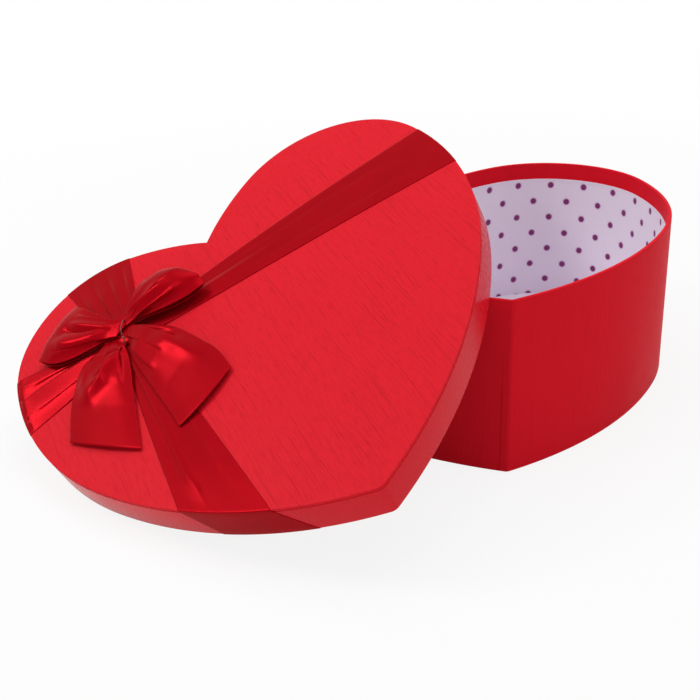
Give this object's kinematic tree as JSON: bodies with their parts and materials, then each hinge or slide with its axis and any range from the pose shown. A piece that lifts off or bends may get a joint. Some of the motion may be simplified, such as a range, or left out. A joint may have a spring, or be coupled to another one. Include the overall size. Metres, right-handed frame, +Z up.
{
  "type": "heart gift box",
  "caption": "Heart-shaped lidded gift box of paper-wrapped board, dotted paper inside, with crossed satin ribbons and a wired bow on the lid, which leans off the base.",
  "frame": {"origin": "centre of the base's length and width on the face it stands on", "axes": "+Z up, +Y from the tip of the base towards its notch, +X to the right seen from the tip"},
  "size_m": [0.4289, 0.3787, 0.1728],
  "materials": {
    "greyboard": "bare grey-brown board",
    "red_grain_paper": "bright red paper with a fine straight grain and a slight sheen",
    "dotted_paper": "off-white paper with small purple dots",
    "lining_paper": "plain off-white paper",
    "red_satin": "deep red satin",
    "tie_wire": "thin dark brown coated wire"
  },
  "bodies": {
    "base": {"base_floor_board": "greyboard", "base_wall_board": "greyboard", "base_side_wrap": "red_grain_paper", "base_bottom_sheet": "red_grain_paper", "base_wall_liner": "dotted_paper", "base_floor_liner": "dotted_paper"},
    "lid": {"lid_top_board": "greyboard", "lid_skirt_board": "greyboard", "lid_top_wrap": "red_grain_paper", "lid_skirt_wrap": "red_grain_paper", "lid_lining": "lining_paper", "ribbon_across": "red_satin", "ribbon_along": "red_satin", "bow_loops": "red_satin", "bow_tails": "red_satin", "bow_tie_wire": "tie_wire"}
  },
  "joints": [
    {"name": "lid_lift", "type": "slide", "parent": "base", "child": "lid", "axis": [0, 0, 1], "range_m": [0, 0.15]}
  ]
}
